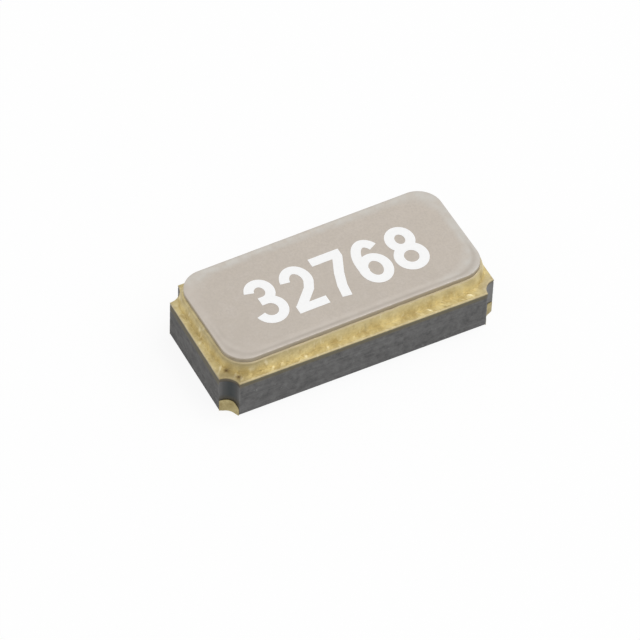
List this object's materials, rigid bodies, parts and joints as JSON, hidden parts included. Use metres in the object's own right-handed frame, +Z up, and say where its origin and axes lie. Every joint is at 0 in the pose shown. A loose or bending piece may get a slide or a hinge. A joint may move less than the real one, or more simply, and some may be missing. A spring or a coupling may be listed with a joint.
{
  "type": "surface-mount tuning-fork quartz crystal",
  "caption": "Small flat ceramic-packaged quartz crystal with a brazed metal lid, a gold-plated seal band, and a sealed grooved tuning fork that sets a clock's pace.",
  "frame": {"origin": "centre of the body's outline, on the plane of the terminals' soldering faces", "axes": "+X along the long side, away from the fork's mounted end; +Z up, out of the lid"},
  "size_m": [0.0032, 0.0016, 0.0007],
  "materials": {
    "black_ceramic": "matte",
    "gold_plating": "satin",
    "braze": "satin",
    "nickel_lid": "satin",
    "terminal_gold": "satin",
    "tungsten": "matte",
    "inner_gold": "satin",
    "silver_adhesive": "matte",
    "quartz": "polished",
    "electrode_film": "polished"
  },
  "bodies": {
    "root": {"ceramic_base": "black_ceramic", "seal_band": "gold_plating", "braze_ring": "braze", "lid": "nickel_lid", "terminal_1": "terminal_gold", "terminal_2": "terminal_gold", "via_near": "tungsten", "conductor_far": "tungsten", "mounting_pad_1": "inner_gold", "mounting_pad_2": "inner_gold", "adhesive_1": "silver_adhesive", "adhesive_2": "silver_adhesive", "quartz_fork": "quartz", "electrode_1": "electrode_film", "electrode_2": "electrode_film", "tuning_weight_1": "electrode_film", "tuning_weight_2": "electrode_film"}
  },
  "joints": []
}
